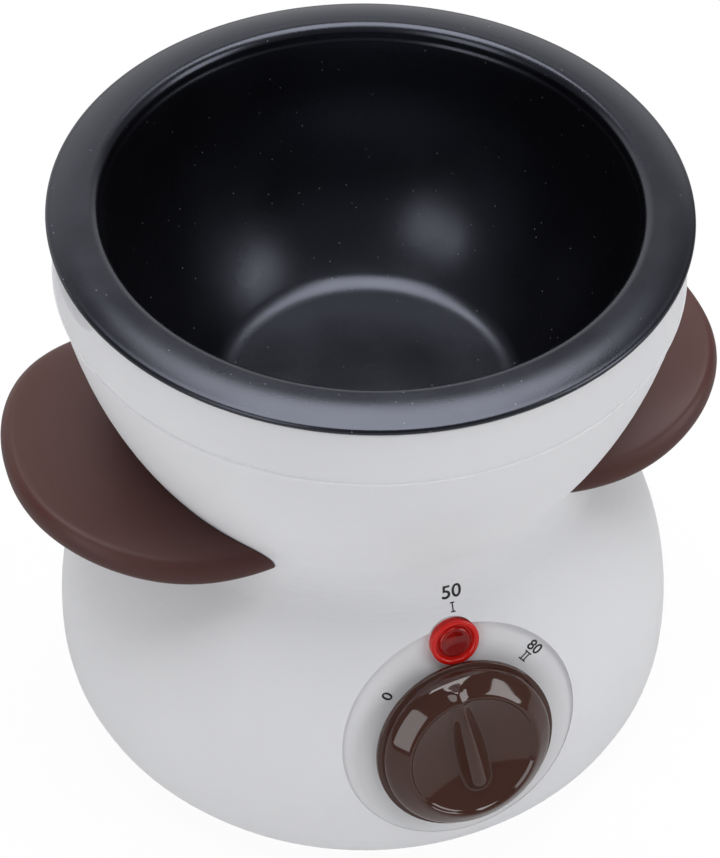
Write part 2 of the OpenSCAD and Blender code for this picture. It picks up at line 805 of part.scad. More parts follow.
module lens_retainer() {
    color("#a9acb0")
        at_dial() translate([0, lens_offset, -wall - near - retainer_t])
            difference() {
                cylinder(r = retainer_r, h = retainer_t);
                translate([0, 0, -over]) cylinder(r = barrel_r + snug, h = retainer_t + 2 * over);
            }
}
module neon_lamp() {
    color("#f0b080")
        at_dial() translate([0, lens_offset, -near - lamp_l]) {
            cylinder(r = lamp_r, h = lamp_l - lamp_r);
            translate([0, 0, lamp_l - lamp_r]) sphere(r = lamp_r);
        }
}

// Terminal block on a post of the base cover
block_w = 26;
block_l = 14;
block_h = 12;
block_y = 30;
block_post_h = 3;
block_z = cover_top_z + block_post_h;
way_z = block_z + block_h / 2;
way_xs = [-block_w / 3, 0, block_w / 3];
fix_x = block_w / 6;
fix_seat_z = block_z + block_h - 2 * small_head_h;
clamp_r = 2.4;
clamp_screw_r = 1.2;
clamp_l = 12;
wire_r = 1.3;
module terminal_block() {
    color("#e9e9e4")
        difference() {
            translate([-block_w / 2, block_y - block_l / 2, block_z]) cube([block_w, block_l, block_h]);
            for (x = way_xs) {
                translate([x, block_y + block_l, way_z])
                    rotate([90, 0, 0]) cylinder(r = clamp_r + snug, h = 2 * block_l);
                for (end = [-1, 1])
                    translate([x, block_y + end * clamp_l / 4, way_z])
                        cylinder(r = clamp_screw_r + snug, h = block_h);
            }
            translate([fix_x, block_y, block_z - over]) cylinder(r = small_screw_r + snug, h = block_h + 2 * over);
            translate([fix_x, block_y, fix_seat_z]) cylinder(r = small_head_r + snug, h = block_h);
        }
}
module terminal_clamps() {
    color("#c9a552")
        for (x = way_xs)
            translate([x, block_y, way_z])
                difference() {
                    union() {
                        rotate([90, 0, 0]) cylinder(r = clamp_r, h = clamp_l, center = true);
                        for (end = [-1, 1])
                            translate([0, end * clamp_l / 4, 0]) cylinder(r = clamp_screw_r, h = block_h / 2 - edge);
                    }
                    for (end = [-1, 1])
                        translate([0, end * (wire_r + clamp_l / 2), 0])
                            rotate([90, 0, 0]) cylinder(r = wire_r, h = clamp_l, center = true);
                }
}
module terminal_screw() {
    color("#8f9296")
        translate([fix_x, block_y, fix_seat_z])
            rotate([180, 0, 0])
                pan_screw(small_screw_r, fix_seat_z - cover_top_z, small_head_r, small_head_h);
}

// Base cover with vents, screw cups, foot sockets and the post of the terminal block
vent_count = 12;
vent_w = 2.4;
vent_r0 = 14;
vent_r1 = 25;
rim_wall = 2;
rim_wall_h = 3.5;
foot_socket = 0.8;
stem_r = 2.4;
module base_cover() {
    cover_r = opening_r - snug;
    color("#efeff0")
        difference() {
            union() {
                translate([0, 0, cover_z]) cylinder(r = cover_r, h = cover_t);
                rotate_extrude()
                    translate([cover_r - rim_wall - edge, cover_top_z - edge]) square([rim_wall, rim_wall_h]);
                ring_of_four(45) translate([base_pcr, 0, cover_z]) cylinder(r = cup_r, h = cover_t + cup_h);
                translate([fix_x, block_y, cover_z]) cylinder(r = boss_r, h = cover_t + block_post_h);
            }
            for (k = [0:vent_count - 1])
                rotate([0, 0, 360 * (k + 1 / 2) / vent_count])
                    translate([vent_r0, -vent_w / 2, cover_z - over])
                        cube([vent_r1 - vent_r0, vent_w, cover_t + 2 * over]);
            ring_of_four(45) translate([base_pcr, 0, cover_z - over]) {
                cylinder(r = screw_hole_r + snug, h = cover_t + cup_h + 2 * over);
                cylinder(r = head_r + 2 * snug, h = head_h + snug + over);
            }
            ring_of_four(0) translate([base_pcr, 0, cover_z - over]) {
                cylinder(r = foot_r + snug, h = foot_socket + over);
                cylinder(r = stem_r + snug, h = cover_t + 2 * over);
            }
            translate([fix_x, block_y, cover_z + cover_t / 2])
                cylinder(r = small_screw_r + running, h = cover_t + block_post_h);
        }
}
module base_screws() {
    low = cover_z + head_h + snug;
    color("#8f9296")
        ring_of_four(45)
            translate([base_pcr, 0, low]) pan_screw(screw_r, boss_z + screw_l - low - over, head_r, head_h);
}

foot_barb_h = 2.4;
module foot(angle) {
    top = cover_z + foot_socket - snug;
    barb_z = cover_top_z + snug;
    color("#3a3a3c")
        rotate([0, 0, angle]) translate([base_pcr, 0, 0])
            rotate_extrude()
                polygon([
                    [0, 0], [foot_r - edge, 0], [foot_r, edge], [foot_r, top - edge], [foot_r - edge, top],
                    [stem_r, top], [stem_r, barb_z], [stem_r + 2 * edge, barb_z + edge],
                    [stem_r - edge, barb_z + foot_barb_h], [0, barb_z + foot_barb_h]
                ]);
}
module foot_front() { foot(-90); }
module foot_rear() { foot(90); }
module foot_left() { foot(180); }
module foot_right() { foot(0); }

// Gland in the rear wall for the supply cord, its mouth as far out as the knob's ring
gland_flange_t = 1.6;
gland_tip_r = 4.6;
gland_barb = 0.8;
gland_barb_l = 2.4;
gland_relief = 0.9;
gland_in_y = housing_r(gland_z, wall) - gland_relief;
ring_reach = max([for (p = knob_edge()) p[1] * cos(dial_tilt) + p[0] * sin(dial_tilt)]);
gland_tip_y = -dial_y + knob_drop * sin(dial_tilt) + ring_reach;
module cord_gland() {
    flange_y = gland_seat_y + gland_flange_t;
    hook_r = gland_neck_r + gland_barb;
    color("#2c2c2e")
        translate([0, 0, gland_z]) rotate([-90, 0, 0])
            rotate_extrude()
                polygon([
                    [gland_bore_r, gland_in_y - gland_barb_l], [gland_neck_r, gland_in_y - gland_barb_l],
                    [hook_r, gland_in_y - edge], [hook_r, gland_in_y], [gland_neck_r, gland_in_y],
                    [gland_neck_r, gland_seat_y], [gland_flange_r, gland_seat_y], [gland_flange_r, flange_y - edge],
                    [gland_flange_r - edge, flange_y], [gland_neck_r + edge, flange_y],
                    [gland_tip_r, gland_tip_y - edge], [gland_tip_r - edge, gland_tip_y],
                    [gland_bore_r, gland_tip_y]
                ]);
}

inner_pot();
collar_ring();
body_shell();
heat_well();
heating_plate();
plate_screws();
mica_element();
clamp_plate();
clamp_nut();
shield_spacer();
heat_shield();
shield_nut();
thermostat();
thermostat_screws();
thermal_fuse();
fuse_clip();
fuse_screw();
handle_left();
handle_right();
handle_screws();
control_knob();
switch_shaft();
rotary_switch();
switch_bracket();
switch_screws();
indicator_lens();
lens_retainer();
neon_lamp();
terminal_block();
terminal_clamps();
terminal_screw();
base_cover();
base_screws();
foot_front();
foot_rear();
foot_left();
foot_right();
cord_gland();
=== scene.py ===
import json
import math

import bpy
from mathutils import Matrix, Vector


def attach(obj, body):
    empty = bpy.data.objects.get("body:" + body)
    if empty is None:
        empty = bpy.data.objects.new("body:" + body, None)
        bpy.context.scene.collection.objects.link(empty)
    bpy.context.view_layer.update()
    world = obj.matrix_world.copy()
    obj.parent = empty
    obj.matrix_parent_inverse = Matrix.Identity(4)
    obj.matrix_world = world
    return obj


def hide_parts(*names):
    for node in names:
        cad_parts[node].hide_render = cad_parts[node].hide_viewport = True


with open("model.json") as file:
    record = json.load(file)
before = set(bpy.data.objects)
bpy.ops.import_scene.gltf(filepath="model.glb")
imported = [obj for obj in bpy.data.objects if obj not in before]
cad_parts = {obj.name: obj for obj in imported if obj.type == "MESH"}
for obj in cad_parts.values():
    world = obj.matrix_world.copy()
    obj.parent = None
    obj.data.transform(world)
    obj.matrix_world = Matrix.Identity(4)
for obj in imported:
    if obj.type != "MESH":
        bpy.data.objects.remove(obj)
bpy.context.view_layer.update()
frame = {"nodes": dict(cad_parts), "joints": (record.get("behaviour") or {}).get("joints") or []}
nodes = frame["nodes"]
bpy.ops.object.select_all(action="DESELECT")
MM = 0.001


# Housing, collar and base cover
# Three mouldings of white ABS. The shell carries everything else, the collar snaps into its
# top and the cover is screwed into its foot. Polished mould halves leave a soft, even gloss.


def linear(code):
    """A colour written as sRGB hex, as linear RGBA."""
    parts = [int(code[i : i + 2], 16) / 255 for i in (1, 3, 5)]
    return [p / 12.92 if p <= 0.04045 else ((p + 0.055) / 1.055) ** 2.4 for p in parts] + [1.0]


def add(material, kind, values=None, links=None, **settings):
    """Adds a node: its own settings, the values of its sockets and the links that come in.

    A socket goes by its name, or by its number where names repeat: in a colour mix 0 is the
    share, 6 and 7 are the two colours, and output 2 is the result.
    """
    node = material.node_tree.nodes.new(kind)
    for name, value in settings.items():
        setattr(node, name, value)
    for socket, value in (values or {}).items():
        node.inputs[socket].default_value = value
    for socket, (source, output) in (links or {}).items():
        material.node_tree.links.new(source.outputs[output], node.inputs[socket])
    return node


def finish(name, tones, rough, grain_mm, depth_mm, cloud_mm=25.0, **own):
    """A surface with two tones in soft clouds, a fine grain in its relief and a drifting gloss."""
    material = bpy.data.materials.new(name)
    material.use_nodes = True
    material.node_tree.nodes.clear()
    place = add(material, "ShaderNodeTexCoord")
    clouds, grain = [
        add(
            material,
            "ShaderNodeTexNoise",
            {"Scale": 1 / (size_mm * MM), "Detail": detail},
            {"Vector": (place, "Object")},
        )
        for size_mm, detail in ((cloud_mm, 3.0), (grain_mm, 2.0))
    ]
    colour = add(
        material,
        "ShaderNodeMix",
        {6: linear(tones[0]), 7: linear(tones[1])},
        {0: (clouds, "Fac")},
        data_type="RGBA",
    )
    gloss = add(
        material,
        "ShaderNodeMapRange",
        {"From Min": 0.3, "From Max": 0.7, "To Min": rough[0], "To Max": rough[1]},
        {"Value": (clouds, "Fac")},
    )
    relief = add(
        material,
        "ShaderNodeBump",
        {"Distance": depth_mm * MM, "Strength": 1.0},
        {"Height": (grain, "Fac")},
    )
    shader = add(
        material,
        "ShaderNodeBsdfPrincipled",
        own,
        {"Base Color": (colour, 2), "Roughness": (gloss, "Result"), "Normal": (relief, "Normal")},
    )
    add(material, "ShaderNodeOutputMaterial", links={"Surface": (shader, "BSDF")})
    return material


def tint(material, colour, mask, output):
    """Lays one more colour over a finished surface, where a mask is one."""
    tree = material.node_tree
    mixed = add(
        material,
        "ShaderNodeMix",
        {7: linear(colour)},
        {0: (mask, output), 6: (tree.nodes["Mix"], 2)},
        data_type="RGBA",
    )
    tree.links.new(mixed.outputs[2], tree.nodes["Principled BSDF"].inputs["Base Color"])


def dress(material, *names):
    """Gives nodes of the CAD a material."""
    for name in names:
        nodes[name].data.materials.clear()
        nodes[name].data.materials.append(material)


# Moulded ABS, white: cool, a faint orange peel, soft reflections of the lamps
white_abs = finish("moulded_abs_white", ("#E9E9EB", "#E4E4E7"), (0.42, 0.5), 1.2, 0.004, IOR=1.53)
dress(white_abs, "body_shell", "collar_ring", "base_cover")


# Seam lip
# The shell's upper edge stands a hair proud of the collar, where its two mould halves close,
# and catches the light as a thin line round the cup.
SEAM_R = 62.2
SEAM_Z = 119.6
LIP_PROUD = 0.36
LIP_HALF = 0.28
SHARP_ANGLE = math.radians(35)
MERGE_MM = 0.002


def arc(centre_r, centre_z, radius, start, end, steps):
    """Points of an arc in a section, with its angles in degrees."""
    turns = [math.radians(start + (end - start) * step / steps) for step in range(steps + 1)]
    return [
        (centre_r + radius * math.cos(turn), centre_z + radius * math.sin(turn)) for turn in turns
    ]


def turned(name, outline, steps):
    """A turned piece: a line of points, radius and height in millimetres, spun about Z."""
    bpy.ops.object.select_all(action="DESELECT")
    bpy.ops.mesh.primitive_plane_add(size=MM, enter_editmode=True, location=(0, 0, 0))
    bpy.ops.mesh.merge(type="CENTER")
    piece = bpy.context.object
    piece.name = piece.data.name = name
    here = Vector((0, 0, 0))
    for radius, height in outline:
        there = Vector((radius * MM, 0, height * MM))
        bpy.ops.mesh.extrude_vertices_move(TRANSFORM_OT_translate={"value": there - here})
        here = there
    bpy.ops.object.mode_set(mode="OBJECT")
    for vertex in piece.data.vertices:
        vertex.select = vertex.index == 0
    bpy.ops.object.mode_set(mode="EDIT")
    bpy.ops.mesh.delete(type="VERT")
    bpy.ops.mesh.select_all(action="SELECT")
    bpy.ops.mesh.spin(steps=steps, angle=math.tau, center=(0, 0, 0), axis=(0, 0, 1))
    bpy.ops.mesh.select_all(action="SELECT")
    bpy.ops.mesh.remove_doubles(threshold=MERGE_MM * MM)
    bpy.ops.mesh.normals_make_consistent(inside=False)
    bpy.ops.object.mode_set(mode="OBJECT")
    bpy.ops.object.shade_smooth_by_angle(angle=SHARP_ANGLE)
    return piece


def settle(piece, material, body, matrix=None):
    """Puts the finished mesh in its place, with the object left at the origin, and dresses it."""
    if matrix is not None:
        piece.data.transform(matrix)
    piece.data.materials.clear()
    piece.data.materials.append(material)
    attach(piece, body)


seam_outline = [(SEAM_R - 0.5, SEAM_Z - LIP_HALF)]
seam_outline += [
    (SEAM_R + LIP_PROUD * x, SEAM_Z + LIP_HALF * y) for x, y in arc(0, 0, 1, -90, 90, 6)
]
seam_outline += [(SEAM_R - 0.5, SEAM_Z + LIP_HALF), (SEAM_R - 0.5, SEAM_Z - LIP_HALF)]
seam_lip = turned("seam_lip", seam_outline, 240)
settle(seam_lip, white_abs, "housing")


# Heater
# A cast aluminium plate with its screws, pressed over a mica element and a clamp plate, hangs
# from a spun aluminium well; a shield on the stud keeps the heat off the leads and the switch.

# Die-cast aluminium: dull, light grey, with the fine skin of the die
cast_aluminium = finish(
    "die_cast_aluminium", ("#B9BABC", "#A6A7AA"), (0.42, 0.58), 0.5, 0.02, Metallic=1.0
)
# Spun aluminium sheet: brighter and smoother than the casting
sheet_aluminium = finish(
    "spun_aluminium", ("#CFD0D2", "#C2C3C6"), (0.24, 0.36), 0.8, 0.005, Metallic=1.0
)
# Zinc-plated steel: cold grey with cloudy patches of the plating
zinc_steel = finish(
    "zinc_plated_steel", ("#B4B6B8", "#9EA1A5"), (0.25, 0.45), 0.6, 0.006, 4.0, Metallic=1.0
)
# Phlogopite mica: pressed amber flakes with a pearly gloss
mica = finish("pressed_mica", ("#C9B384", "#A98F5F"), (0.35, 0.55), 1.5, 0.03, 3.0, IOR=1.58)
# Glass-fibre sleeve over the fuse: dry, off-white, with a coarse weave
glass_sleeve = finish("glass_fibre_sleeve", ("#E9E4D6", "#D6CFBD"), (0.7, 0.85), 0.7, 0.08, 3.0)
# Phenolic moulding: almost black, hard and slightly dull
phenolic = finish("moulded_phenolic", ("#2B2523", "#1F1B1A"), (0.38, 0.5), 0.5, 0.01, 8.0, IOR=1.6)
dress(cast_aluminium, "heating_plate")
dress(sheet_aluminium, "heat_well", "heat_shield")
dress(mica, "mica_element")
dress(glass_sleeve, "thermal_fuse")
dress(phenolic, "thermostat", "rotary_switch")
dress(
    zinc_steel,
    "plate_screws",
    "clamp_plate",
    "clamp_nut",
    "shield_spacer",
    "shield_nut",
    "thermostat_screws",
    "fuse_clip",
    "fuse_screw",
    "handle_screws",
    "switch_bracket",
    "switch_screws",
    "lens_retainer",
    "terminal_screw",
    "base_screws",
)


# Terminals, shaft and gland
# The supply cord's gland, the terminal block on its post and the nylon shaft of the switch.

# Natural nylon: milky and waxy
nylon = finish("moulded_nylon", ("#E2DFD5", "#D5D1C4"), (0.35, 0.45), 0.6, 0.006, 10.0, IOR=1.53)
# Turned brass: warm yellow with a fine machined sheen
brass = finish("turned_brass", ("#D8B765", "#C4A14F"), (0.22, 0.34), 0.3, 0.004, 4.0, Metallic=1.0)
# Moulded rubber: dark grey, matt, slightly dusty
rubber = finish("moulded_rubber", ("#262627", "#313133"), (0.62, 0.78), 0.5, 0.02, 5.0)
dress(nylon, "switch_shaft", "terminal_block")
dress(brass, "terminal_clamps")
dress(rubber, "cord_gland", "foot_front", "foot_rear", "foot_left", "foot_right")


# Handles
# Two crescents of brown ABS, screwed on from inside the waist. Seen from above each is part of
# an oval; its tips droop towards the belly, and its top is dished behind a rounded ridge.
HANDLE_X = 38.0
HANDLE_Z = 80.0
HANDLE_R = 41.0
HANDLE_REACH = 39.35
HANDLE_FRONT_W = 36.2
HANDLE_BACK_W = 38.4
HANDLE_SQUARE = 2.15
HANDLE_DROOP = 6.0
DROOP_POWER = 4
TIP_THINNING = 0.3
HALF_T = 4.25
NOSE_RISE = 0.8
UNDER_IN = 6.0
RIDGE_IN = 2.5
DISH_IN = 15.0
DISH_DEPTH = 1.6
DISH_STEPS = 16
FLAT_STEP = 1.5
WALL_GAP = 0.25
WALL_LOW, WALL_HIGH = 58, 100
FEELER_X, FEELER_Y = -0.2, 0.001

# Etched ABS, brown: a broad, soft sheen over a warm dark brown
etched_abs = finish(
    "etched_abs_brown", ("#512F2A", "#4A2B27"), (0.42, 0.5), 0.35, 0.02, 30.0, IOR=1.44
)

handle_outline = [
    (FLAT_STEP * step, -HALF_T) for step in range(int((HANDLE_R - UNDER_IN) / FLAT_STEP))
]
handle_outline += [
    (HANDLE_R - UNDER_IN + UNDER_IN * x, NOSE_RISE + (NOSE_RISE + HALF_T) * y)
    for x, y in arc(0, 0, 1, -90, 0, 9)
]
handle_outline += [
    (HANDLE_R - RIDGE_IN + RIDGE_IN * x, NOSE_RISE + (HALF_T - NOSE_RISE) * y)
    for x, y in arc(0, 0, 1, 10, 90, 8)
]
for step in range(1, DISH_STEPS + 1):
    radius = HANDLE_R - RIDGE_IN - (DISH_IN - RIDGE_IN) * step / DISH_STEPS
    handle_outline.append((radius, HALF_T - DISH_DEPTH * math.sin(math.pi / 2 * step / DISH_STEPS)))
handle_outline += [
    (FLAT_STEP * step, HALF_T - DISH_DEPTH)
    for step in range(int((HANDLE_R - DISH_IN) / FLAT_STEP), -1, -1)
]

# The wall's line is felt out on the shell, so that the handles close on it whatever its curve is
wall_outline = [(0.0, WALL_LOW)]
for height in range(2 * WALL_LOW, 2 * WALL_HIGH + 1):
    _, place, _, _ = nodes["body_shell"].ray_cast((FEELER_X, FEELER_Y, height / 2 * MM), (1, 0, 0))
    wall_outline.append((math.hypot(place.x, place.y) / MM + WALL_GAP, height / 2))
wall_outline.append((0.0, WALL_HIGH))
wall = turned("wall", wall_outline, 256)

for side, name in ((-1, "handle_left"), (1, "handle_right")):
    handle = turned(name + "_moulding", handle_outline, 200)
    for vertex in handle.data.vertices:
        x, y, z = vertex.co / MM
        turn = math.atan2(y, x)
        spread = abs(math.cos(turn)) ** HANDLE_SQUARE + abs(math.sin(turn)) ** HANDLE_SQUARE
        bulge = spread ** (-1 / HANDLE_SQUARE)
        half_w = HANDLE_FRONT_W if y < 0 else HANDLE_BACK_W
        x, y = x * bulge, y * bulge * half_w / HANDLE_R
        away = (y / half_w) ** DROOP_POWER
        z = HANDLE_Z - HANDLE_DROOP * away + z * (1 - TIP_THINNING * away)
        vertex.co = Vector((side * HANDLE_X + x * HANDLE_REACH / HANDLE_R, y, z)) * MM
    notch = handle.modifiers.new("notch", "BOOLEAN")
    notch.operation = "DIFFERENCE"
    notch.solver = "EXACT"
    notch.object = wall
    bpy.context.view_layer.objects.active = handle
    bpy.ops.object.modifier_apply(modifier="notch")
    bpy.ops.object.select_all(action="DESELECT")
    handle.select_set(True)
    bpy.ops.object.shade_smooth_by_angle(angle=SHARP_ANGLE)
    settle(handle, etched_abs, "housing")
    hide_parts(name)
bpy.data.objects.remove(wall)


# Bowl
# A pressed aluminium bowl with a rolled rim, lifted out by the rim. A sprayed non-stick coat
# covers it all over: nearly black, satin, with a fine pebble that spreads each highlight.
RIM_Z = 134.0
BOWL_R = 52.0
BOWL_WALL = 1.2
FLOOR_R = 28.5
FLOOR_Z = 80.5
FILLET = 8.0
ARC_Z = 122.0
ARC_R = 51.95
NECK_Z = 131.2
NECK_STEP = 0.4
NECK_H = 1.4
LIP_R = 2.0
RIM_RISE = 1.0
ROLL_START = 0.2
RIM_R = 62.5
BEAD_R = 0.75
UNDER_DRAW = 0.5
FLOOR_STEPS, NECK_STEPS, RIM_STEPS = 12, 6, 14

fillet_turn = math.degrees(math.atan2(FLOOR_Z + FILLET - ARC_Z, FLOOR_R - (BOWL_R - ARC_R)))
rim_span = RIM_R - BEAD_R - (BOWL_R + NECK_STEP + LIP_R)


def bowl_line(out):
    """The bowl's line from the middle of its floor to the rim's bead, set outwards by a wall."""
    line = [(FLOOR_R * step / FLOOR_STEPS, FLOOR_Z - out) for step in range(FLOOR_STEPS)]
    line += arc(FLOOR_R, FLOOR_Z + FILLET, FILLET + out, -90, fillet_turn, 14)
    line += arc(BOWL_R - ARC_R, ARC_Z, ARC_R + out, fillet_turn, 0, 40)[1:]
    line += [(BOWL_R + out, ARC_Z + (NECK_Z - ARC_Z) * step / 4) for step in range(1, 5)]
    for step in range(1, NECK_STEPS + 1):
        share = step / NECK_STEPS
        radius = BOWL_R + out + NECK_STEP * share * share * (3 - 2 * share)
        line.append((radius, NECK_Z + NECK_H * share))
    line += arc(BOWL_R + NECK_STEP + LIP_R, RIM_Z + RIM_RISE - LIP_R, LIP_R - out, 180, 90, 12)
    for step in range(1, RIM_STEPS + 1):
        share = step / RIM_STEPS
        radius = BOWL_R + NECK_STEP + LIP_R + rim_span * share
        fall = max((share - ROLL_START) / (1 - ROLL_START), 0.0)
        line.append((radius - out * UNDER_DRAW * fall, RIM_Z + RIM_RISE * (1 - fall * fall) - out))
    return line


bowl_outline = bowl_line(0) + arc(RIM_R - BEAD_R, RIM_Z - BEAD_R, BEAD_R, 75, -150, 16)
bowl_outline += bowl_line(BOWL_WALL)[::-1]
bowl = turned("bowl_pressing", bowl_outline, 240)

# Sprayed non-stick coat: a cool black, satin, with a few pale specks of dust in it
SPECK_MM = 2.8
SPECK_SHARE = 0.05
nonstick = finish(
    "sprayed_nonstick_coat",
    ("#08080B", "#0B0B0E"),
    (0.24, 0.31),
    0.35,
    0.016,
    18.0,
    **{"IOR": 1.68, "Specular Tint": linear("#E4E9FF")},
)
specks = add(
    nonstick,
    "ShaderNodeTexVoronoi",
    {"Scale": 1 / (SPECK_MM * MM)},
    {"Vector": (nonstick.node_tree.nodes["Texture Coordinate"], "Object")},
)
where = add(
    nonstick, "ShaderNodeMath", {1: SPECK_SHARE}, {0: (specks, "Distance")}, operation="LESS_THAN"
)
tint(nonstick, "#6E7078", where, "Value")
settle(bowl, nonstick, "pot")
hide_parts("inner_pot")


# Dial frame
# The seat's middle and its axis, worked out from the knob's joint: the seat's flat lies under
# the knob, tilted up, and the lens and the figures stand round it.
KNOB_JOINT = [joint for joint in frame["joints"] if joint["name"] == "knob_turn"][0]
KNOB_DROP = 1.9 * MM

seat_normal = Vector(KNOB_JOINT["axis"]).normalized()
seat_up = Vector((0, seat_normal.z, -seat_normal.y))
seat_right = Vector((1, 0, 0))
knob_middle = Vector(KNOB_JOINT["pos_m"])
seat_middle = knob_middle + seat_up * KNOB_DROP


def dial_matrix(middle, right_mm=0.0, up_mm=0.0, out_mm=0.0):
    """A frame with X to the right along the seat, Y up the seat and Z out of it."""
    origin = middle + (seat_right * right_mm + seat_up * up_mm + seat_normal * out_mm) * MM
    axes = Matrix((seat_right, seat_up, seat_normal)).transposed().to_4x4()
    return Matrix.Translation(origin) @ axes


# Knob
# One moulding of brown ABS pushed on the flat of the shaft: a skirt, a sloping shoulder, a
# ring and a grip blade that grows out of the ring. The mould is polished like glass.
SKIRT_R = 19.3
SKIRT_LOW = 2.8
SKIRT_HIGH = 3.75
SKIRT_ROUND = 0.3
FACE_H = 6.1
FACE_HOLLOW = 0.0132
FACE_R = 13.2
KNOB_LEAN = 7.5
HUB_R = 5.2
HUB_LOW = 0.8
HOLLOW_R = 14.6
HOLLOW_H = 5.0
RING_STEP = 0.4
BLADE_TAIL = -6.6
BLADE_TIP = 15.6
BLADE_HALF = (1.5, 0.35)
BLADE_TOP = 10.3
BLADE_CREST_Y = 3.0
BLADE_CROWN_R = 70.0
BLADE_LIMIT_R = 16.9
FLANK_SLOPE = 1.9
EDGE_ROUND = 0.7
FILLET_REACH, FILLET_GROWTH = 0.8, 2.4
FILLET_FROM_R, FILLET_SPAN = 8.5, 6.0

knob_outline = [(0.0, HUB_LOW), (HUB_R, HUB_LOW), (HUB_R, HOLLOW_H), (HOLLOW_R, HOLLOW_H)]
knob_outline += [(17.0, 4.0), (17.4, SKIRT_LOW)]
for height, turn in ((SKIRT_LOW + SKIRT_ROUND, -90), (SKIRT_HIGH, 0)):
    knob_outline += [
        (SKIRT_R - SKIRT_ROUND + x, height + y)
        for x, y in arc(0, 0, SKIRT_ROUND, turn, turn + 90, 3)
    ]
knob_outline += [(18.55, 4.07), (18.35, 4.15), (18.25, 4.35), (18.2, 4.8), (18.1, 5.3)]
knob_outline += [(17.95, 5.7), (17.7, 6.1), (17.35, 6.5), (16.9, 6.92), (16.4, 7.36), (15.9, 7.79)]
knob_outline += [(15.4, 8.21), (14.95, 8.57), (14.6, 8.82), (14.3, 9.0), (14.05, 9.08)]
knob_outline += [(13.8, 9.03), (13.6, 8.88), (13.4, 8.64)]
for step in range(int(FACE_R / RING_STEP)):
    radius = FACE_R - RING_STEP * step
    knob_outline.append((radius, FACE_H + FACE_HOLLOW * radius**2))
knob_outline.append((0.0, FACE_H))

knob = turned("knob_moulding", knob_outline, 240)


def soft_max(a, b, reach):
    """The larger of two heights, with a fillet where they are nearly alike."""
    near = max(reach - abs(a - b), 0.0) / reach
    return max(a, b) + near * near * reach / 4


# The blade is raised in code, because its flanks run into the face and the ring with a fillet
# that widens towards the ring, which no operator gives
for vertex in knob.data.vertices:
    x, y, z = vertex.co / MM
    radius = math.hypot(x, y)
    if z < FACE_H - 0.01 or vertex.normal.z < 0.05 or radius > BLADE_LIMIT_R:
        continue
    along = min(max((y - BLADE_TAIL) / (BLADE_TIP - BLADE_TAIL), 0.0), 1.0)
    half = BLADE_HALF[0] + (BLADE_HALF[1] - BLADE_HALF[0]) * along
    spine_y = min(max(y, BLADE_TAIL), BLADE_TIP)
    away = math.hypot(x, y - spine_y) - half
    fall = EDGE_ROUND * math.log1p(math.exp(min(away / EDGE_ROUND, 30.0))) * FLANK_SLOPE
    crest = BLADE_TOP - (spine_y - BLADE_CREST_Y) ** 2 / (2 * BLADE_CROWN_R)
    widening = min(max((radius - FILLET_FROM_R) / FILLET_SPAN, 0.0), 1.0)
    reach = FILLET_REACH + FILLET_GROWTH * widening
    vertex.co.z = soft_max(z, crest - fall, reach) * MM
bpy.ops.object.shade_smooth()

# Polished ABS, brown: deep and wet-looking, with sharp reflections of the lamps
polished_abs = finish(
    "polished_abs_brown", ("#3E2219", "#43261C"), (0.05, 0.08), 2.5, 0.001, 20.0, IOR=1.6
)
lean = Matrix.Rotation(math.radians(KNOB_LEAN), 4, "Z")
settle(knob, polished_abs, "knob", dial_matrix(knob_middle) @ lean)
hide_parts("control_knob")


# Indicator
# A red polycarbonate lens pushed through the seat's edge, with a collar, a groove and a small
# dome; a ring holds it behind the wall and a neon lamp glows in its barrel.
LENS_R = 5.2
LENS_OFFSET = 22.0
LENS_RIM_H = 1.7
LENS_ROUND = 0.45
LENS_SHIFT = (0.75, -0.75)
BARREL_R = 4.0
BARREL_IN_R = 3.3
BARREL_LOW = -10.5
# Radii of the painted shade in the lens: full inside the first, none outside the second
CORE_DARK_R, CORE_BRIGHT_R = 2.8, 4.2

lens_outline = [(0.0, -0.35), (1.1, -0.6), (2.2, -0.35), (3.0, -0.6), (BARREL_IN_R, -0.9)]
lens_outline += [(BARREL_IN_R, BARREL_LOW), (BARREL_R, BARREL_LOW), (BARREL_R, -0.5)]
lens_outline += [(BARREL_R, 0.0), (LENS_R, 0.0), (LENS_R, LENS_RIM_H - LENS_ROUND)]
lens_outline += [
    (LENS_R - LENS_ROUND + x, LENS_RIM_H - LENS_ROUND + y)
    for x, y in arc(0, 0, LENS_ROUND, 15, 90, 5)
]
lens_outline += [(4.35, 1.68), (4.1, 1.5), (3.95, 1.15), (3.8, 0.95), (3.6, 0.9), (3.45, 1.0)]
lens_outline += [(3.3, 1.25), (3.1, 1.45), (2.9, 1.5), (2.6, 1.44), (2.2, 1.3), (1.7, 1.13)]
lens_outline += [(1.2, 1.0), (0.6, 0.92), (0.0, 0.9)]

lens = turned("indicator_lens_moulding", lens_outline, 96)
# Its head sits a little off the axis of its barrel
for vertex in lens.data.vertices:
    if vertex.co.z > -0.1 * MM:
        vertex.co += Vector((*LENS_SHIFT, 0)) * MM
# Clear polycarbonate, red: bright in its collar, with painted shade darkening its middle where the
# eye looks down the barrel
red_lens = finish(
    "moulded_polycarbonate_red",
    ("#EC1E14", "#DA1610"),
    (0.05, 0.08),
    1.0,
    0.002,
    6.0,
    **{"IOR": 1.5, "Transmission Weight": 0.2},
)
lens_middle = dial_matrix(
    seat_middle, LENS_SHIFT[0], LENS_OFFSET + LENS_SHIFT[1], LENS_RIM_H
).translation
depth = add(
    red_lens,
    "ShaderNodeVectorMath",
    {1: lens_middle},
    {0: (red_lens.node_tree.nodes["Texture Coordinate"], "Object")},
    operation="DISTANCE",
)
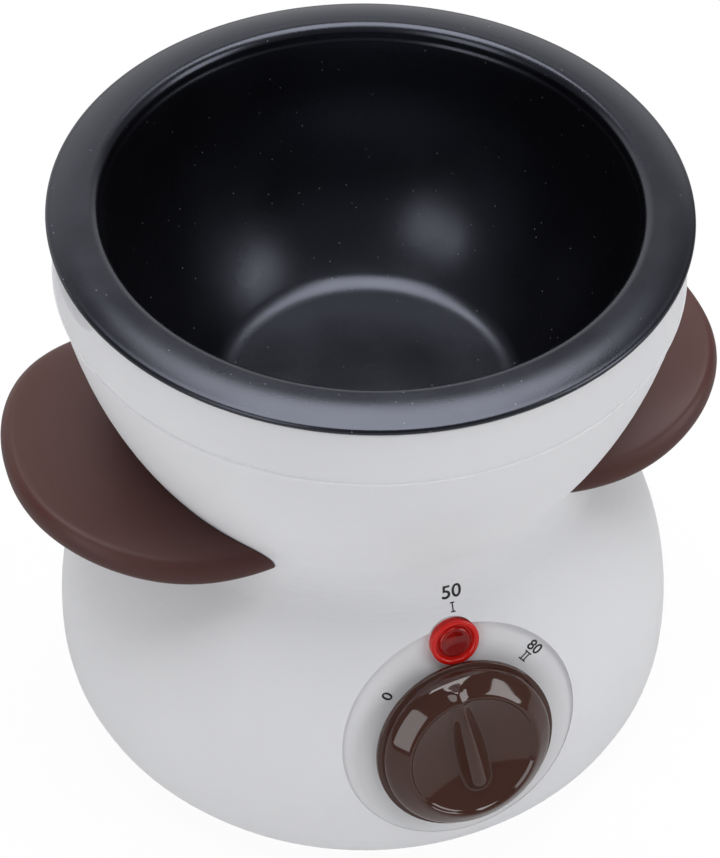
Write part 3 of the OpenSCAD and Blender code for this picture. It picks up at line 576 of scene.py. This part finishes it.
# Painted shade: the lens's red is darkened towards its middle, standing in for the shade of the
# deep barrel
painted_barrel_shade = add(
    red_lens,
    "ShaderNodeMapRange",
    {"From Min": CORE_BRIGHT_R * MM, "From Max": CORE_DARK_R * MM},
    {"Value": (depth, "Value")},
)
tint(red_lens, "#8A100E", painted_barrel_shade, "Result")
settle(lens, red_lens, "housing", dial_matrix(seat_middle, up_mm=LENS_OFFSET))
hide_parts("indicator_lens")

# Neon lamp: clear glass with a faint orange glow round its electrodes
lamp_glass = finish(
    "neon_lamp_glass",
    ("#F2B68A", "#E89A66"),
    (0.05, 0.1),
    0.8,
    0.002,
    3.0,
    **{"IOR": 1.5, "Emission Color": linear("#FF6A3A"), "Emission Strength": 0.4},
)
dress(lamp_glass, "neon_lamp")


# Figures of the dial
# Pad-printed in black on the white plastic: the marks 0, I and II, and a plain number outside
# each of the two heat marks. The film of ink is thin and follows the curve of the housing.
INK = 0.04
INK_BED = 0.01
INK_SPREAD = 0.012
PRINT_FROM = 12
BAR_PITCH, BAR_STROKE, SERIF = 0.42, 0.14, 0.5
# Pad-printing ink: near black, slightly glossy
ink = finish("pad_print_ink", ("#131315", "#1A1A1C"), (0.35, 0.5), 0.3, 0.003, 1.5)


def printed(name, piece, right_mm, up_mm, turn_deg):
    """Lays a flat mesh on the housing along the dial's axis and gives it the thickness of ink."""
    piece.name = piece.data.name = name
    turn = Matrix.Rotation(math.radians(turn_deg), 4, "Z")
    place = dial_matrix(seat_middle, right_mm, up_mm) @ turn
    piece.matrix_world = place @ Matrix.Translation((0, 0, PRINT_FROM * MM))
    bpy.context.view_layer.objects.active = piece
    wrap = piece.modifiers.new("lay", "SHRINKWRAP")
    wrap.target = nodes["body_shell"]
    wrap.wrap_method = "PROJECT"
    wrap.use_project_z = True
    wrap.use_negative_direction = True
    wrap.use_positive_direction = False
    wrap.offset = INK_BED * MM
    bpy.ops.object.modifier_apply(modifier="lay")
    film = piece.modifiers.new("film", "SOLIDIFY")
    film.thickness = INK * MM
    film.offset = 1.0
    bpy.ops.object.modifier_apply(modifier="film")
    matrix = piece.matrix_world.copy()
    piece.matrix_world = Matrix.Identity(4)
    settle(piece, ink, "housing", matrix)


def figure(name, text, size_mm, right_mm, up_mm, turn_deg):
    """A number, printed at its place on the dial."""
    bpy.ops.object.select_all(action="DESELECT")
    bpy.ops.object.text_add(location=(0, 0, 0))
    piece = bpy.context.object
    piece.data.body = text
    piece.data.size = size_mm * MM
    piece.data.align_x = "CENTER"
    piece.data.align_y = "CENTER"
    piece.data.offset = INK_SPREAD * size_mm * MM
    piece.data.resolution_u = 6
    bpy.ops.object.convert(target="MESH")
    printed(name, bpy.context.object, right_mm, up_mm, turn_deg)


def bars(name, stems, size_mm, right_mm, up_mm, turn_deg):
    """A Roman numeral: stems side by side between two serifs."""
    bpy.ops.object.select_all(action="DESELECT")
    pitch, stroke = size_mm * BAR_PITCH, size_mm * BAR_STROKE
    width = pitch * (stems - 1) + size_mm * SERIF
    parts = [(pitch * (k - (stems - 1) / 2), 0.0, stroke, size_mm) for k in range(stems)]
    parts += [(0.0, end * size_mm / 2, width, stroke) for end in (-1, 1)]
    made = []
    for x, y, wide, high in parts:
        bpy.ops.mesh.primitive_grid_add(
            x_subdivisions=4, y_subdivisions=4, size=MM, location=(x * MM, y * MM, 0)
        )
        bpy.context.object.scale = (wide, high, 1)
        bpy.ops.object.transform_apply(location=True, rotation=False, scale=True)
        made.append(bpy.context.object)
    for part in made:
        part.select_set(True)
    bpy.ops.object.join()
    printed(name, bpy.context.object, right_mm, up_mm, turn_deg)


figure("dial_mark_zero", "0", 3.4, -14.4, 12.0, 50.0)
bars("dial_mark_one", 1, 1.9, 1.2, 29.2, -2.0)
bars("dial_mark_two", 2, 2.0, 15.9, 12.7, -52.0)
figure("dial_number_low", "50", 4.4, 1.3, 32.6, -2.0)
figure("dial_number_high", "80", 3.4, 18.1, 14.2, -52.0)


# Stage
# A white floor and a white backdrop: white to the camera, with a trace of the pot's shadow, while
# reflections show the floor at half its light. Three softboxes light a dim room: one overhead
# and one on each side in front.
STAGE_GLOW = 0.95
FLOOR_GLOSS, BACKDROP_GLOSS = 0.5, 1.0
FLOOR_SIZE = 8.0
BACKDROP_Y = 1.0
BACKDROP_WIDTH, BACKDROP_HEIGHT = 3.0, 1.0
ROOM_LIGHT = 0.17
POT_MIDDLE = (0, 0, 0.06)


def paper(name, gloss_glow):
    """White paper: a lit sheet that looks white to the camera and, by its share, in reflections."""
    material = bpy.data.materials.new(name)
    material.use_nodes = True
    material.node_tree.nodes.clear()
    path = add(material, "ShaderNodeLightPath")
    mirrored = add(
        material,
        "ShaderNodeMath",
        links={0: (path, "Is Glossy Ray"), 1: (path, "Is Transmission Ray")},
        operation="ADD",
    )
    seen = add(
        material,
        "ShaderNodeMath",
        links={0: (path, "Is Camera Ray"), 1: (mirrored, "Value")},
        operation="ADD",
    )
    share = add(
        material,
        "ShaderNodeMath",
        {1: STAGE_GLOW},
        {0: (seen, "Value")},
        operation="MULTIPLY",
        use_clamp=True,
    )
    strength = add(
        material,
        "ShaderNodeMath",
        {1: 1 - gloss_glow, 2: gloss_glow},
        {0: (path, "Is Camera Ray")},
        operation="MULTIPLY_ADD",
    )
    place = add(material, "ShaderNodeTexCoord")
    fibres = add(material, "ShaderNodeTexNoise", {"Scale": 300.0}, {"Vector": (place, "Object")})
    relief = add(material, "ShaderNodeBump", {"Distance": 0.02 * MM}, {"Height": (fibres, "Fac")})
    lit = add(
        material,
        "ShaderNodeBsdfDiffuse",
        {"Color": linear("#F4F4F4")},
        {"Normal": (relief, "Normal")},
    )
    glow = add(
        material,
        "ShaderNodeEmission",
        {"Color": linear("#FFFFFF")},
        {"Strength": (strength, "Value")},
    )
    mixed = add(
        material,
        "ShaderNodeMixShader",
        links={0: (share, "Value"), 1: (lit, "BSDF"), 2: (glow, "Emission")},
    )
    add(material, "ShaderNodeOutputMaterial", links={"Surface": (mixed, "Shader")})
    return material


bpy.ops.object.select_all(action="DESELECT")
bpy.ops.mesh.primitive_plane_add(size=FLOOR_SIZE, location=(0, 0, 0))
floor = bpy.context.object
floor.name = floor.data.name = "floor"
floor.data.materials.append(paper("white_paper_floor", FLOOR_GLOSS))
bpy.ops.mesh.primitive_plane_add(
    size=1.0, location=(0, BACKDROP_Y, BACKDROP_HEIGHT / 2), rotation=(math.pi / 2, 0, 0)
)
backdrop = bpy.context.object
backdrop.name = backdrop.data.name = "backdrop"
backdrop.scale = (BACKDROP_WIDTH, BACKDROP_HEIGHT, 1.0)
bpy.ops.object.transform_apply(location=True, rotation=True, scale=True)
backdrop.data.materials.append(paper("white_paper_backdrop", BACKDROP_GLOSS))

world = bpy.data.worlds.new("room")
bpy.context.scene.world = world
world.use_nodes = True
world.node_tree.nodes["Background"].inputs["Color"].default_value = linear("#F6F8FF")
world.node_tree.nodes["Background"].inputs["Strength"].default_value = ROOM_LIGHT


def softbox(name, place, width, height, watts):
    """A rectangular lamp that faces the pot."""
    lamp = bpy.data.lights.new(name, "AREA")
    lamp.shape = "RECTANGLE"
    lamp.size, lamp.size_y, lamp.energy = width, height, watts
    lamp_object = bpy.data.objects.new(name, lamp)
    bpy.context.scene.collection.objects.link(lamp_object)
    lamp_object.location = place
    gaze = Vector(POT_MIDDLE) - Vector(place)
    lamp_object.rotation_euler = gaze.to_track_quat("-Z", "Y").to_euler()


softbox("softbox_top", (0.05, 0.13, 1.2), 0.9, 1.0, 13.0)
softbox("softbox_left", (-0.80, -0.54, 0.46), 0.5, 0.75, 2.6)
softbox("softbox_right", (0.80, -0.54, 0.52), 0.45, 0.65, 3.2)


# Camera
# The photograph looks down on the pot from the front left. It was cropped off centre, so the
# lens axis meets the picture right of its middle, which the shift gives back.
CAMERA_AT = Vector((-0.10315, -0.28775, 0.39617))
CAMERA_TURN = math.radians(22.2)
CAMERA_FALL = math.radians(47.02)
CAMERA_ROLL = math.radians(3.06)
FOCAL_PIXELS = 2074.0
PICTURE_LONG = 858.0
PICTURE_MIDDLE_X = 360.0
AXIS_PIXEL_X = 428.7

camera_data = bpy.data.cameras.new("camera")
camera_data.lens = FOCAL_PIXELS / PICTURE_LONG * camera_data.sensor_width
camera_data.shift_x = (PICTURE_MIDDLE_X - AXIS_PIXEL_X) / PICTURE_LONG
camera = bpy.data.objects.new("camera", camera_data)
bpy.context.scene.collection.objects.link(camera)
camera.matrix_world = (
    Matrix.Translation(CAMERA_AT)
    @ Matrix.Rotation(-CAMERA_TURN, 4, "Z")
    @ Matrix.Rotation(math.pi / 2 - CAMERA_FALL, 4, "X")
    @ Matrix.Rotation(CAMERA_ROLL, 4, "Z")
)
bpy.context.scene.camera = camera
bpy.context.scene.view_settings.view_transform = "Standard"
